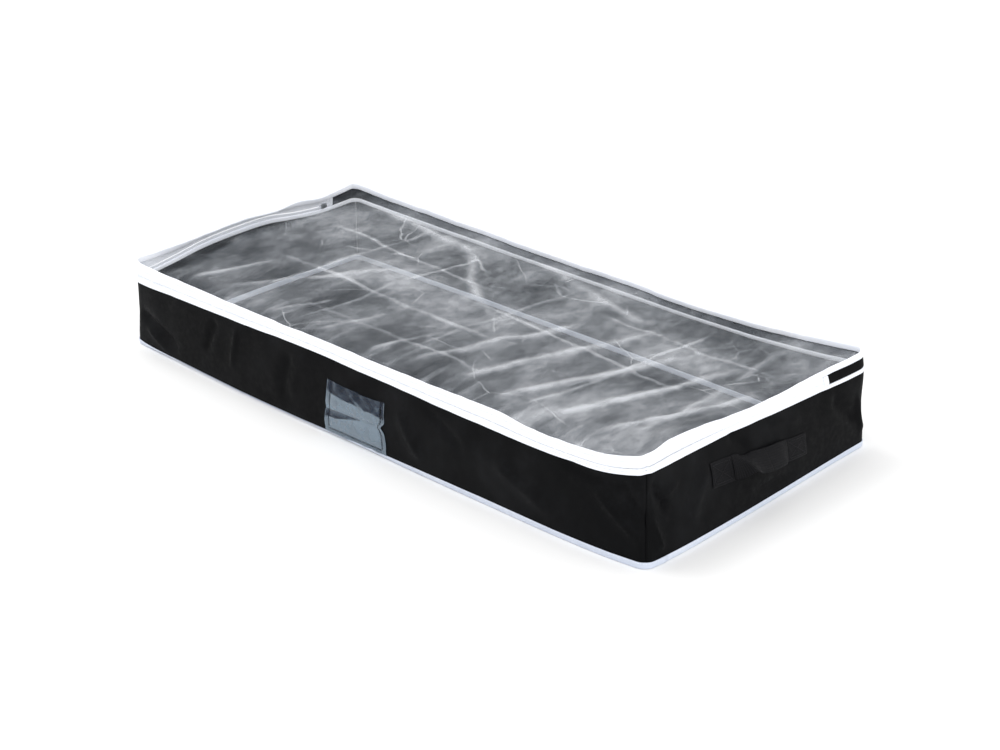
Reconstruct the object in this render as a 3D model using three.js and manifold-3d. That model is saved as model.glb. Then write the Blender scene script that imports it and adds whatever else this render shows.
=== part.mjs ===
// Under-bed storage bag: sewn fabric walls and base, a clear film lid closed by a zip on three sides.
// Millimetres. X runs the long way, the label pocket is on the -Y wall and the floor is z = 0.
// Every side is built in its own frame: x along the side, y inwards from the outer face, z up.
import * as THREE from 'three';
import { mergeVertices } from 'three/addons/utils/BufferGeometryUtils.js';
import Module from 'manifold-3d';

const wasm = await Module();
wasm.setup();

// ---- Driving dimensions ----
const length = 1000;            // over the long way, across the end bindings
const width = 450;              // over the short way, across the front and back bindings
const gap = 0.3;                // between pieces that touch
const bindingThickness = 0.9;   // one layer of the folded white strip
const wallThickness = 1.2;      // fabric of the walls
const baseThickness = 2;        // doubled fabric of the base
const filmThickness = 0.5;      // clear lid film
const tapeThickness = 0.9;      // woven zip tape and the black hinge strip

const baseBindingHeight = 9;    // visible height of the strip round the bottom edge
const wallTop = 108;            // upper cut edge of the wall fabric
const wallBindingHeight = 6;    // visible height of the strip on the wall's upper edge
const tapeLowerHeight = 1.7;    // lower zip tape above its binding
const coilHeight = 2.6;         // one half of the coil
const coilThickness = 2.4;
const coilSpacing = 2;          // between the two halves, where the slider's post runs
const tapeUpperVisible = 7.2;   // upper zip tape below the lid binding
const lidBindingHeight = 10;

const foldSetback = 90;         // from the back face to the line where the film folds
const zipLeftPastFold = 30;     // the zip's closed end lies this far behind the fold line
const zipRightPastFold = 8;     // and its open end this far
const endTabLength = 8;         // folded tab that finishes the zip

const sliderLength = 12;
const sliderHeight = 9.4;
const sliderPlate = 1.5;        // thickness of each slider plate
const sliderPostLength = 4;
const sliderClearance = 0.3;    // slider to coil
const sliderSetback = 13;       // from the zip's closed end to the parked slider's centre
const bailInnerRadius = 2.4;
const bailOuterRadius = 3.6;
const bailWidth = 1.6;
const pullLength = 28;
const pullWidth = 8;
const pullThickness = 1.4;
const pullBar = 1.2;            // cross bar that sits under the bail
const pullWindowLength = 3.8;
const pullWindowWidth = 3;
const pullPivotHeight = 1.1;    // cross bar's centre above the slider plate

const pocketWidth = 112;
const pocketHeight = 76;
const pocketCentreX = -16;
const pocketFilm = 0.4;
const pocketSeam = 4;           // width of the stitched margin
const pocketLift = 1;           // above the bottom binding

const webbingWidth = 28;
const webbingThickness = 1.2;
const patchLength = 42;
const patchGrip = 59;           // from the handle's middle to the inner edge of a patch
const strapHalfSpan = 57.5;     // from the handle's middle to where the free strap starts
const strapBulge = 14;          // how far the slack strap stands off
const handleTop = 78;           // upper edge of the webbing

const cutHeight = 400;          // taller than the bag, for the mitre cuts
const cutDepth = 12;            // deeper than any strip, for the mitre cuts

// ---- Heights and depths that follow ----
const wallFrom = bindingThickness + gap;                      // outer face of the walls and tapes
const wallTo = wallFrom + wallThickness;
const bindingInner = wallTo + gap;                            // inner leg of the wall bindings
const wallBindingTo = bindingInner + bindingThickness;
const baseFrom = wallBindingTo + gap;                         // where the base panel starts
const wallBindingTop = wallTop + gap + bindingThickness;
const wallBindingBottom = wallBindingTop - wallBindingHeight;
const tapeLowerBottom = wallBindingTop + gap;
const tapeLowerTop = tapeLowerBottom + tapeLowerHeight;
const coilLowerBottom = tapeLowerTop + gap;
const coilLowerTop = coilLowerBottom + coilHeight;
const coilUpperBottom = coilLowerTop + coilSpacing;
const coilUpperTop = coilUpperBottom + coilHeight;
const coilMiddle = (coilLowerTop + coilUpperBottom) / 2;
const tapeUpperBottom = coilUpperTop + gap;
const lidBindingBottom = tapeUpperBottom + tapeUpperVisible;
const lidBindingTop = lidBindingBottom + lidBindingHeight;
const seamTop = lidBindingTop - bindingThickness - gap;       // tape and film edges inside the fold
const filmTop = lidBindingBottom - gap;
const filmRimFrom = wallFrom + tapeThickness + gap;           // film edge turned up behind the tape
const lidBindingInner = filmRimFrom + filmThickness + gap;
const lidBindingTo = lidBindingInner + bindingThickness;
const tapeMiddle = wallFrom + tapeThickness / 2;
const coilFrom = tapeMiddle - coilThickness / 2;
const coilTo = tapeMiddle + coilThickness / 2;
const foldY = width / 2 - foldSetback;
const zipEndLeftY = foldY + zipLeftPastFold;
const zipEndRightY = foldY + zipRightPastFold;

// ---- Materials ----
const paint = (color, roughness, metalness = 0) =>
  new THREE.MeshStandardMaterial({ color, roughness, metalness });
const blackFabric = paint(0x15171b, 0.85);
const whiteBinding = paint(0xe6e9f2, 0.7);
const baseTrim = paint(0xc6d0de, 0.7);
const whiteTape = paint(0xf6f8fb, 0.75);
const coilPlastic = paint(0xdfe3e8, 0.45);
const blackWebbing = paint(0x0f1013, 0.8);
const sliderMetal = paint(0xb9bdc4, 0.35, 0.9);
const clearFilm = paint(0xdfe2e8, 0.15);
clearFilm.transparent = true;
clearFilm.opacity = 0.35;

// ---- Geometry helpers ----
// A rectangular block between two corners.
function block([x0, x1], [y0, y1], [z0, z1]) {
  const geometry = new THREE.BoxGeometry(x1 - x0, y1 - y0, z1 - z0);
  return geometry.translate((x0 + x1) / 2, (y0 + y1) / 2, (z0 + z1) / 2);
}

// An outline in (y, z), run along x.
function strip(outline, [x0, x1]) {
  const shape = new THREE.Shape(outline.map(([y, z]) => new THREE.Vector2(y, z)));
  const geometry = new THREE.ExtrudeGeometry(shape, { depth: x1 - x0, bevelEnabled: false });
  const turn = new THREE.Matrix4().makeBasis(
    new THREE.Vector3(0, 1, 0), new THREE.Vector3(0, 0, 1), new THREE.Vector3(1, 0, 0));
  return geometry.applyMatrix4(turn).translate(x0, 0, 0);
}

function solidOf(geometry) {
  const bare = geometry.clone();
  bare.deleteAttribute('normal');
  bare.deleteAttribute('uv');
  const merged = mergeVertices(bare, 1e-4);
  const mesh = new wasm.Mesh({
    numProp: 3,
    vertProperties: new Float32Array(merged.attributes.position.array),
    triVerts: new Uint32Array(merged.index.array),
  });
  mesh.merge();
  return new wasm.Manifold(mesh);
}

function geometryOf(solid) {
  const mesh = solid.getMesh();
  const geometry = new THREE.BufferGeometry();
  geometry.setAttribute('position', new THREE.BufferAttribute(mesh.vertProperties, 3));
  geometry.setIndex(new THREE.BufferAttribute(mesh.triVerts, 1));
  return geometry;
}

function join(geometries) {
  return geometryOf(geometries.map(solidOf).reduce((a, b) => a.add(b)));
}

// Keeps what lies inside a side's own sector, so that neighbouring sides meet on a 45 degree mitre.
function mitre(geometry, halfSide) {
  const reach = halfSide - gap / 2;
  const corners = [[-reach, 0], [reach, 0], [reach - cutDepth, cutDepth], [cutDepth - reach, cutDepth]];
  const shape = new THREE.Shape(corners.map(([x, y]) => new THREE.Vector2(x, y)));
  const sector = new THREE.ExtrudeGeometry(shape, { depth: cutHeight, bevelEnabled: false });
  return geometryOf(solidOf(geometry).intersect(solidOf(sector)));
}

// A strip folded over an edge: two legs joined by a fold at the top, or at the bottom.
function foldOver([z0, z1], innerLeg, foldAtTop) {
  const outer = innerLeg + bindingThickness;
  const legEnd = foldAtTop ? z0 : z1;
  const foldEnd = foldAtTop ? z1 : z0;
  const foldInside = foldAtTop ? z1 - bindingThickness : z0 + bindingThickness;
  const outline = [
    [0, legEnd], [0, foldEnd], [outer, foldEnd], [outer, legEnd],
    [innerLeg, legEnd], [innerLeg, foldInside], [bindingThickness, foldInside], [bindingThickness, legEnd],
  ];
  return foldAtTop ? outline.reverse() : outline;
}

function place(group, name, geometry, material) {
  const mesh = new THREE.Mesh(geometry, material);
  mesh.name = name;
  group.add(mesh);
  return mesh;
}

// ---- The four sides ----
const bag = new THREE.Group();

function sideFrame(x, y, turn) {
  const group = new THREE.Group();
  group.position.set(x, y, 0);
  group.rotation.z = turn;
  bag.add(group);
  return group;
}

const sides = {
  front: { frame: sideFrame(0, -width / 2, 0), half: length / 2 },
  right: { frame: sideFrame(length / 2, 0, Math.PI / 2), half: width / 2 },
  back: { frame: sideFrame(0, width / 2, Math.PI), half: length / 2 },
  left: { frame: sideFrame(-length / 2, 0, -Math.PI / 2), half: width / 2 },
};

const baseFold = foldOver([0, baseBindingHeight], bindingInner, false);
const wallFold = foldOver([wallBindingBottom, wallBindingTop], bindingInner, true);
const lidFold = foldOver([lidBindingBottom, lidBindingTop], lidBindingInner, true);

// Wall panel with the bound seams along its bottom and top edges.
function addWall(name, { frame, half }) {
  const run = [-half, half];
  const panel = block(run, [wallFrom, wallTo], [bindingThickness + gap, wallTop]);
  place(frame, `${name}_wall`, mitre(panel, half), blackFabric);
  place(frame, `base_binding_${name}`, mitre(strip(baseFold, run), half), baseTrim);
  place(frame, `wall_binding_${name}`, mitre(strip(wallFold, run), half), whiteBinding);
}

// Lower half of the zip along one run: tape and coil, sewn to the wall.
function addLowerZip(name, { frame, half }, run) {
  const tape = block(run, [wallFrom, wallFrom + tapeThickness], [tapeLowerBottom, tapeLowerTop]);
  const coil = block(run, [coilFrom, coilTo], [coilLowerBottom, coilLowerTop]);
  place(frame, `zip_tape_lower_${name}`, mitre(tape, half), whiteTape);
  place(frame, `zip_coil_lower_${name}`, mitre(coil, half), coilPlastic);
}

// Upper half of the zip along one run, sewn into the lid binding.
function addUpperZip(name, { frame, half }, run) {
  const tape = block(run, [wallFrom, wallFrom + tapeThickness], [tapeUpperBottom, seamTop]);
  const coil = block(run, [coilFrom, coilTo], [coilUpperBottom, coilUpperTop]);
  place(frame, `zip_tape_upper_${name}`, mitre(tape, half), whiteTape);
  place(frame, `zip_coil_upper_${name}`, mitre(coil, half), coilPlastic);
}

function addLidBinding(name, { frame, half }, run) {
  place(frame, `lid_binding_${name}`, mitre(strip(lidFold, run), half), whiteBinding);
}

// Black strip between the two bindings, where the zip has ended.
function addHingeStrip(name, { frame, half }, run) {
  const panel = block(run, [wallFrom, wallFrom + tapeThickness], [tapeLowerBottom, seamTop]);
  place(frame, `hinge_strip_${name}`, mitre(panel, half), blackFabric);
}

// Folded tab that closes the end of the zip.
function addEndTab(name, { frame }, run) {
  const tab = block(run, [coilFrom, coilTo], [tapeLowerBottom, filmTop - filmThickness - gap]);
  place(frame, `zip_end_tab_${name}`, tab, whiteTape);
}

for (const [name, side] of Object.entries(sides)) addWall(name, side);

// The right frame's x is +Y and the left frame's x is -Y, so left runs are mirrored.
const halfGap = gap / 2;
const frontRun = [-length / 2, length / 2];
const rightZip = [-width / 2, zipEndRightY];
const leftZip = [-zipEndLeftY, width / 2];
addLowerZip('front', sides.front, frontRun);
addLowerZip('right', sides.right, rightZip);
addLowerZip('left', sides.left, leftZip);
addUpperZip('front', sides.front, frontRun);
addUpperZip('right', sides.right, [-width / 2, foldY - halfGap]);
addUpperZip('right_rear', sides.right, [foldY + halfGap, zipEndRightY]);
addUpperZip('left', sides.left, [-foldY + halfGap, width / 2]);
addUpperZip('left_rear', sides.left, [-zipEndLeftY, -foldY - halfGap]);
addLidBinding('front', sides.front, frontRun);
addLidBinding('right', sides.right, [-width / 2, foldY - halfGap]);
addLidBinding('left', sides.left, [-foldY + halfGap, width / 2]);
addLidBinding('back', sides.back, frontRun);
addLidBinding('right_rear', sides.right, [foldY + halfGap, width / 2]);
addLidBinding('left_rear', sides.left, [-width / 2, -foldY - halfGap]);
addEndTab('right', sides.right, [zipEndRightY + gap, zipEndRightY + endTabLength]);
addEndTab('left', sides.left, [-zipEndLeftY - endTabLength, -zipEndLeftY - gap]);
addHingeStrip('right', sides.right, [zipEndRightY + endTabLength + gap, width / 2]);
addHingeStrip('left', sides.left, [-width / 2, -zipEndLeftY - endTabLength - gap]);
addHingeStrip('back', sides.back, frontRun);

// ---- Base and lid film ----
const baseX = length / 2 - baseFrom;
const baseY = width / 2 - baseFrom;
place(bag, 'base_panel', block([-baseX, baseX], [-baseY, baseY], [0, baseThickness]), blackFabric);

// Flat film with its cut edges turned up into the lid binding, on all but the folding edge.
function filmTray(yEdge, yFold) {
  const edgeX = length / 2 - filmRimFrom;
  const [y0, y1] = [Math.min(yEdge, yFold), Math.max(yEdge, yFold)];
  const inward = Math.sign(yFold - yEdge);
  const rimY = [yEdge, yEdge + inward * filmThickness].sort((a, b) => a - b);
  const rimZ = [filmTop - filmThickness, seamTop];
  return join([
    block([-edgeX, edgeX], [y0, y1], [filmTop - filmThickness, filmTop]),
    block([-edgeX, edgeX], rimY, rimZ),
    block([-edgeX, -edgeX + filmThickness], [y0, y1], rimZ),
    block([edgeX - filmThickness, edgeX], [y0, y1], rimZ),
  ]);
}

const filmEdgeY = width / 2 - filmRimFrom;
place(bag, 'lid_film', filmTray(-filmEdgeY, foldY - halfGap), clearFilm);
place(bag, 'lid_film_rear', filmTray(filmEdgeY, foldY + halfGap), clearFilm);

// ---- Slider and pull, parked at the left rear end of the zip ----
const sliderX = -zipEndLeftY + sliderSetback;
const plateOuter = coilFrom - sliderClearance;
const plateInner = coilTo + sliderClearance;
const postHalf = coilSpacing / 2 - sliderClearance;
const along = (half) => [sliderX - half, sliderX + half];
const tall = [coilMiddle - sliderHeight / 2, coilMiddle + sliderHeight / 2];

// Arch that holds the pull, standing off the outer plate.
function bailArch() {
  const shape = new THREE.Shape();
  shape.absarc(0, 0, bailOuterRadius, Math.PI, 2 * Math.PI, false);
  shape.lineTo(bailInnerRadius, 0);
  shape.absarc(0, 0, bailInnerRadius, 2 * Math.PI, Math.PI, true);
  shape.closePath();
  const arch = new THREE.ExtrudeGeometry(shape, { depth: bailWidth, bevelEnabled: false, curveSegments: 10 });
  const foot = plateOuter - sliderPlate + gap / 2;
  return arch.translate(sliderX, foot, coilMiddle - bailWidth / 2);
}

place(sides.left.frame, 'zip_slider', join([
  block(along(sliderLength / 2), [plateOuter - sliderPlate, plateOuter], tall),
  block(along(sliderLength / 2), [plateInner, plateInner + sliderPlate], tall),
  block(along(sliderPostLength / 2), [plateOuter - gap, plateInner + gap],
    [coilMiddle - postHalf, coilMiddle + postHalf]),
  bailArch(),
]), sliderMetal);

// Flat tab with a window; the cross bar at its head sits under the bail.
function pullTab() {
  const half = pullWidth / 2;
  const head = pullBar / 2;
  const shape = new THREE.Shape();
  shape.moveTo(-head, -half);
  shape.lineTo(pullLength - half, -half);
  shape.absarc(pullLength - half, 0, half, -Math.PI / 2, Math.PI / 2, false);
  shape.lineTo(-head, half);
  shape.closePath();
  const window = new THREE.Path();
  window.moveTo(head, -pullWindowWidth / 2);
  window.lineTo(head, pullWindowWidth / 2);
  window.lineTo(head + pullWindowLength, pullWindowWidth / 2);
  window.lineTo(head + pullWindowLength, -pullWindowWidth / 2);
  window.closePath();
  shape.holes.push(window);
  const tab = new THREE.ExtrudeGeometry(shape, { depth: pullThickness, bevelEnabled: false, curveSegments: 8 });
  return tab.translate(0, 0, -pullThickness / 2);
}

const pull = place(sides.left.frame, 'zip_pull', pullTab(), sliderMetal);
pull.position.set(sliderX, plateOuter - sliderPlate - pullPivotHeight, coilMiddle);
pull.rotation.set(Math.PI / 2, 0, Math.PI);

// ---- Label pocket on the front wall, open at the top ----
function labelPocket() {
  const x = [pocketCentreX - pocketWidth / 2, pocketCentreX + pocketWidth / 2];
  const z = [baseBindingHeight + pocketLift, baseBindingHeight + pocketLift + pocketHeight];
  const seam = [pocketFilm / 2, wallFrom - gap];
  return join([
    block(x, [0, pocketFilm], z),
    block(x, seam, [z[0], z[0] + pocketSeam]),
    block([x[0], x[0] + pocketSeam], seam, z),
    block([x[1] - pocketSeam, x[1]], seam, z),
  ]);
}
place(sides.front.frame, 'label_pocket', labelPocket(), clearFilm);

// ---- Webbing handles on both ends: two sewn patches and the slack strap between them ----
const handleZ = [handleTop - webbingWidth, handleTop];

function slackStrap() {
  const radius = (strapHalfSpan ** 2 + strapBulge ** 2) / (2 * strapBulge);
  const sweep = Math.asin(strapHalfSpan / radius);
  const centreY = radius - strapBulge;
  const start = -Math.PI / 2 - sweep;
  const end = -Math.PI / 2 + sweep;
  const shape = new THREE.Shape();
  shape.absarc(0, centreY, radius + webbingThickness, start, end, false);
  shape.absarc(0, centreY, radius, end, start, true);
  shape.closePath();
  const strap = new THREE.ExtrudeGeometry(
    shape, { depth: webbingWidth, bevelEnabled: false, curveSegments: 16 });
  return strap.translate(0, 0, handleZ[0]);
}

for (const name of ['left', 'right']) {
  const { frame } = sides[name];
  const patchY = [0, wallFrom - gap];
  const rearSign = name === 'right' ? 1 : -1;
  for (const [end, sign] of [['front', -rearSign], ['rear', rearSign]]) {
    const patchX = [sign * patchGrip, sign * (patchGrip + patchLength)].sort((a, b) => a - b);
    place(frame, `handle_patch_${name}_${end}`, block(patchX, patchY, handleZ), blackWebbing);
  }
  place(frame, `handle_strap_${name}`, slackStrap(), blackWebbing);
}

export default bag;
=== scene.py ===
"""Under-bed storage bag: sewn black walls, white bindings, coil zip and a clear film lid.

Every strip of cloth is drawn in cloth coordinates and then hung in the room by cloth():
s runs round the bag, z is the height on the flat cloth, and u is the depth inwards from the outer face.
"""
import math

import bpy
import numpy as np
from mathutils import Matrix, Vector


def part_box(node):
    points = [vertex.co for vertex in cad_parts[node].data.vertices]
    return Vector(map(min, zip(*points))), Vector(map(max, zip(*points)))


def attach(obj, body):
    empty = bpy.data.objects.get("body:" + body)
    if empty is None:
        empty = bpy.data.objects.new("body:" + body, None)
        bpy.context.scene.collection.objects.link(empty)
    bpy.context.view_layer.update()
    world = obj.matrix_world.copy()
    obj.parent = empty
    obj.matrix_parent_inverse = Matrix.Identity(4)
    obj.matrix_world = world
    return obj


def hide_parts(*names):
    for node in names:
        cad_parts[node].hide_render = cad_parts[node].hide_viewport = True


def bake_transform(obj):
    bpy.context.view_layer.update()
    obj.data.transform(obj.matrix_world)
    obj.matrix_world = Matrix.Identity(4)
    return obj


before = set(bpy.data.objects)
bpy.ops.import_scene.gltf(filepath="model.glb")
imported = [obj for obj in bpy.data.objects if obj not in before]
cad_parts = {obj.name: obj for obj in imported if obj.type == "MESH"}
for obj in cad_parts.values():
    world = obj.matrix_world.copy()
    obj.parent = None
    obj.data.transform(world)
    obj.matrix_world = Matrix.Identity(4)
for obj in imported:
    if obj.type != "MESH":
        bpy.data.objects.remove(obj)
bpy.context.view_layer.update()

MM = 0.001
FRONT, RIGHT, BACK, LEFT = range(4)
SIDE_NAMES = ("front", "right", "back", "left")


# ---- Places taken from the frame ----
def heights(node):
    low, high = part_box(node)
    return low.z, high.z


HALF_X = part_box("base_binding_right")[1].x
HALF_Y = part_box("base_binding_back")[1].y


def depths(node):
    """Outer and inner depth of a node on the front side."""
    low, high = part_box(node)
    return HALF_Y + low.y, HALF_Y + high.y


WALL_Z = heights("front_wall")
WALL_U = depths("front_wall")
RIM_Z = heights("lid_binding_front")[1]
WALL_BINDING_Z = heights("wall_binding_front")
WALL_BINDING_U = depths("wall_binding_front")
LID_BINDING_Z = heights("lid_binding_front")
LID_BINDING_U = depths("lid_binding_front")
BASE_BINDING_Z = heights("base_binding_front")
LOWER_TAPE_Z = heights("zip_tape_lower_front")
UPPER_TAPE_Z = heights("zip_tape_upper_front")
TAPE_U = depths("zip_tape_upper_front")
LOWER_COIL_Z = heights("zip_coil_lower_front")
UPPER_COIL_Z = heights("zip_coil_upper_front")
COIL_U = depths("zip_coil_lower_front")
COIL_MIDDLE_Z = (LOWER_COIL_Z[1] + UPPER_COIL_Z[0]) / 2
ZIP_END_RIGHT_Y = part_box("zip_coil_lower_right")[1].y
ZIP_END_LEFT_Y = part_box("zip_coil_lower_left")[1].y


# ---- The path round the bag ----
CORNER = 16 * MM
OUTWARD = np.array([(0, -1), (1, 0), (0, 1), (-1, 0)], float)
ALONG = np.array([(1, 0), (0, 1), (-1, 0), (0, -1)], float)
FACE = np.array([HALF_Y, HALF_X, HALF_Y, HALF_X])
STRAIGHT = np.array([HALF_X, HALF_Y, HALF_X, HALF_Y]) - CORNER
RUN = 2 * STRAIGHT + CORNER * math.pi / 2
START = np.concatenate([[0], np.cumsum(RUN)[:-1]])
ROUND = RUN.sum()


def at(side, x):
    """Position on the path of a point x along a side, measured from the side's middle."""
    return START[side] + RUN[side] / 2 + x


def locate(s):
    """Side and position from the side's middle, for positions on the path."""
    s = np.mod(s, ROUND)
    side = np.clip(np.searchsorted(START, s, side="right") - 1, 0, 3)
    return side, s - START[side] - RUN[side] / 2


def path(s, depth, sharpness=0.0):
    """Point at a depth inside the outer face; the corners grow rounder as the cloth rolls inwards."""
    side, x = locate(s)
    straight = np.clip(x, -STRAIGHT[side], STRAIGHT[side])
    turn = ((x - straight) / CORNER)[..., None]
    normal = OUTWARD[side] * np.cos(turn) + ALONG[side] * np.sin(turn)
    inward = np.maximum(depth, 0)
    grown = inward ** 2 / (inward + CORNER / 2) - sharpness
    radius = CORNER - depth + grown
    centre = OUTWARD[side] * (FACE[side] - CORNER - grown)[..., None]
    centre = centre + ALONG[side] * (straight * (1 - grown / STRAIGHT[side]))[..., None]
    return centre + normal * radius[..., None]


# ---- Small curves and noise ----
def smooth(x):
    x = np.clip(x, 0, 1)
    return x * x * (3 - 2 * x)


def through(x, stations, values):
    """Smooth curve through a few stations."""
    stations, values = np.asarray(stations, float), np.asarray(values, float)
    slopes = np.gradient(values, stations)
    i = np.clip(np.searchsorted(stations, x) - 1, 0, len(stations) - 2)
    span = stations[i + 1] - stations[i]
    f = np.clip((x - stations[i]) / span, 0, 1)
    rest = 1 - f
    ends = values[i] * (1 + 2 * f) * rest * rest + values[i + 1] * f * f * (3 - 2 * f)
    return ends + span * (slopes[i] * f * rest * rest - slopes[i + 1] * f * f * rest)


LATTICE = np.random.default_rng(7).uniform(-1, 1, (64, 64))


def wander(x, y):
    """Smooth noise between -1 and 1, with one swell per unit."""
    x, y = np.broadcast_arrays(x, y)
    i, j = np.floor(x).astype(int), np.floor(y).astype(int)
    f, g = smooth(x - i), smooth(y - j)
    near = LATTICE[i % 64, j % 64] * (1 - f) + LATTICE[(i + 1) % 64, j % 64] * f
    far = LATTICE[i % 64, (j + 1) % 64] * (1 - f) + LATTICE[(i + 1) % 64, (j + 1) % 64] * f
    return near * (1 - g) + far * g


def ridge(x, y, start, end, width):
    """Height, from 0 to 1, of a tent-shaped fold along a line that fades out at its ends."""
    (x0, y0), (x1, y1) = start, end
    length = math.hypot(x1 - x0, y1 - y0)
    dx, dy = (x1 - x0) / length, (y1 - y0) / length
    along = (x - x0) * dx + (y - y0) * dy
    across = np.abs((x - x0) * dy - (y - y0) * dx)
    ends = smooth(along / (0.25 * length)) * smooth((length - along) / (0.25 * length))
    return np.clip(1 - across / width, 0, 1) ** 1.4 * ends


# ---- How the cloth hangs ----
# One row per station along a side, from -1 at its start to 1 at its end, in millimetres:
# station, foot out, wall top out, rim out, wall top raised, rim raised, foot tucked under;
# the last number is the share of the way up the binding at which the film leaves it.
HANG = {
    FRONT: [
        (-1.00, 5, 5, 5, -1, 0, 0, 0),
        (-0.95, 8, 7, 3, -1, -4, 2, 0),
        (-0.80, 11, 6, -3, 1, -9, 4, 0),
        (-0.50, 17, 8, -1, 5, -8, 5, 0),
        (-0.27, 18, 9, 0, 9, -7, 5, 0),
        (0.00, 17, 9, 1, 8, -6, 3, 0),
        (0.20, 18, 10, 1, 7, -6, 1, 0),
        (0.50, 18, 11, 0, 5, -6, 0, 0),
        (0.72, 18, 9, -4, 5, -10, 0, 0.2),
        (0.90, 14, 4, -12, 10, -6, 0, 0.6),
        (1.00, 8, -6, -22, 19, 2, 0, 1),
    ],
    RIGHT: [
        (-1.00, 8, -6, -22, 19, 2, 0, 1),
        (-0.80, 11, -9, -21, 16, 7, 0, 0.9),
        (-0.45, 12, -11, -19, 14, 4, 0, 0.8),
        (0.00, 11, -8, -9, 11, 0, 0, 0.4),
        (0.40, 9, -4, -8, 9, 0, 0, 0.3),
        (0.75, 8, 1, -5, 8, 2, 0, 0.2),
        (1.00, 8, 8, 5, 12, 9, 0, 0),
    ],
    BACK: [
        (-1.00, 8, 8, 5, 12, 9, 0, 0),
        (-0.85, 6, 5, -3, 6, 3, 0, 0),
        (-0.55, 6, 2, -8, 0, -5, 0, 0),
        (-0.10, 7, 2, -8, -1, -4, 0, 0),
        (0.40, 7, 2, -7, -1, -3, 0, 0),
        (0.80, 4, 1, -4, 0, -1, 0, 0),
        (1.00, 2, 2, 2, 0, 0, 0, 0),
    ],
    LEFT: [
        (-1.00, 2, 2, 2, 0, 1, 0, 0),
        (-0.84, 4, 0.5, -2, 0, -1, 0, 0),
        (-0.68, 5, 0.5, -4, 0, -2, 0, 0),
        (-0.43, 8, 7, 1, 3, 1, 0, 0),
        (-0.24, 9, 13, -1, 8, -1, 0, 0),
        (0.05, 10, 15, 3, 9, 3, 0, 0),
        (0.38, 9, 13, 2, 7, 2, 0, 0),
        (0.72, 6, 4, 0, 2, 1, 0, 0),
        (0.93, 5, 0.5, 1, 0, 0, 0, 0),
        (1.00, 5, 5, 5, -1, 0, 0, 0),
    ],
}
BELLY = np.array([5, 6, 5, 5]) * MM
FOOT_SHARPNESS = 9 * MM
# Above this height each side leans by its own curve.
LEAN_FROM = np.array([WALL_BINDING_Z[0]] * 3 + [UPPER_COIL_Z[1]])
LEAN_POWER = np.array([1.25, 1.25, 0.6, 1.0])
RAISE_POWER = 1.2
FOLD_STRENGTH = 1.5
# The walls' relief fades over these heights above the floor, and below and past the wall binding.
FOOT_FADE = 30 * MM
HEAD_FADE_BELOW = 20 * MM
HEAD_FADE = 30 * MM
TUCK_HEIGHT = 9 * MM
TUCK_FADE = 30 * MM

# Pressed-in folds of the walls: side, two ends as (along, height), half width and depth, in millimetres.
WALL_FOLDS = [
    (FRONT, (-495, 62), (-380, 22), 16, -5.0),
    (FRONT, (-470, 40), (-400, 8), 9, 2.5),
    (FRONT, (-300, 98), (-325, 40), 14, -3.0),
    (FRONT, (-255, 100), (-262, 30), 10, 2.0),
    (FRONT, (-140, 96), (-150, 20), 22, -3.0),
    (FRONT, (75, 84), (130, 18), 20, 3.0),
    (FRONT, (120, 100), (210, 60), 12, -2.6),
    (FRONT, (250, 70), (360, 24), 18, 2.6),
    (FRONT, (360, 102), (470, 88), 9, -3.4),
    (FRONT, (420, 84), (492, 30), 12, 3.2),
    (FRONT, (455, 100), (488, 62), 9, -3.6),
    (RIGHT, (-222, 66), (-192, 12), 9, 4.0),
    (RIGHT, (-214, 96), (-186, 58), 12, -5.0),
    (RIGHT, (-206, 70), (-160, 84), 8, 3.0),
    (RIGHT, (-150, 30), (-100, 90), 20, 2.6),
    (RIGHT, (-60, 102), (-20, 84), 12, -3.4),
    (RIGHT, (20, 98), (90, 86), 11, 2.4),
    (RIGHT, (-30, 30), (80, 20), 14, -2.4),
    (RIGHT, (150, 92), (205, 40), 13, -3.4),
    (RIGHT, (206, 80), (214, 20), 8, 3.0),
    (BACK, (-480, 80), (-380, 20), 16, -4.0),
    (BACK, (-260, 100), (-240, 24), 20, -3.4),
    (BACK, (-60, 90), (20, 20), 20, 3.0),
    (BACK, (160, 96), (140, 24), 16, -3.2),
    (BACK, (330, 90), (430, 22), 16, 3.4),
    (LEFT, (-190, 80), (-120, 20), 14, -4.0),
    (LEFT, (110, 88), (180, 24), 13, -3.6),
    (LEFT, (150, 70), (200, 20), 10, 2.6),
]


def hang_lines():
    """The columns of HANG, in metres, at evenly spaced points round the bag."""
    side, x = locate(HANG_AT)
    share = x / (RUN[side] / 2)
    lines = np.zeros((7, len(HANG_AT)))
    for k, rows in HANG.items():
        table = np.array(rows, float)
        here = side == k
        for column in range(7):
            lines[column, here] = through(share[here], table[:, 0], table[:, column + 1])
    lines[:6] *= MM
    return lines


HANG_AT = np.linspace(0, ROUND, 6000, endpoint=False)
HANG_LINES = hang_lines()


def hang(column, s):
    return np.interp(np.mod(s, ROUND), HANG_AT, HANG_LINES[column], period=ROUND)


def wall_relief(side, x, z):
    """Soft swells and pressed folds of the walls, fading to nothing at the bottom seam and at the zip."""
    s = START[side] + x
    swell = 1.6 * wander(s / 0.075, z / 0.055)
    swell = swell + 0.8 * wander(s / 0.028 + 9, z / 0.05) + 0.3 * wander(s / 0.012, z / 0.02)
    relief = swell * MM
    for k, start, end, width, depth in WALL_FOLDS:
        fold = ridge(x, z, np.array(start) * MM, np.array(end) * MM, width * MM)
        relief = relief + np.where(side == k, FOLD_STRENGTH * fold * depth * MM, 0)
    foot = smooth(z / FOOT_FADE)
    calm = np.where(side == LEFT, 1.0, 0.55)
    head = 1 - calm * smooth((z - WALL_BINDING_Z[0] + HEAD_FADE_BELOW) / HEAD_FADE)
    return relief * foot * head


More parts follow.
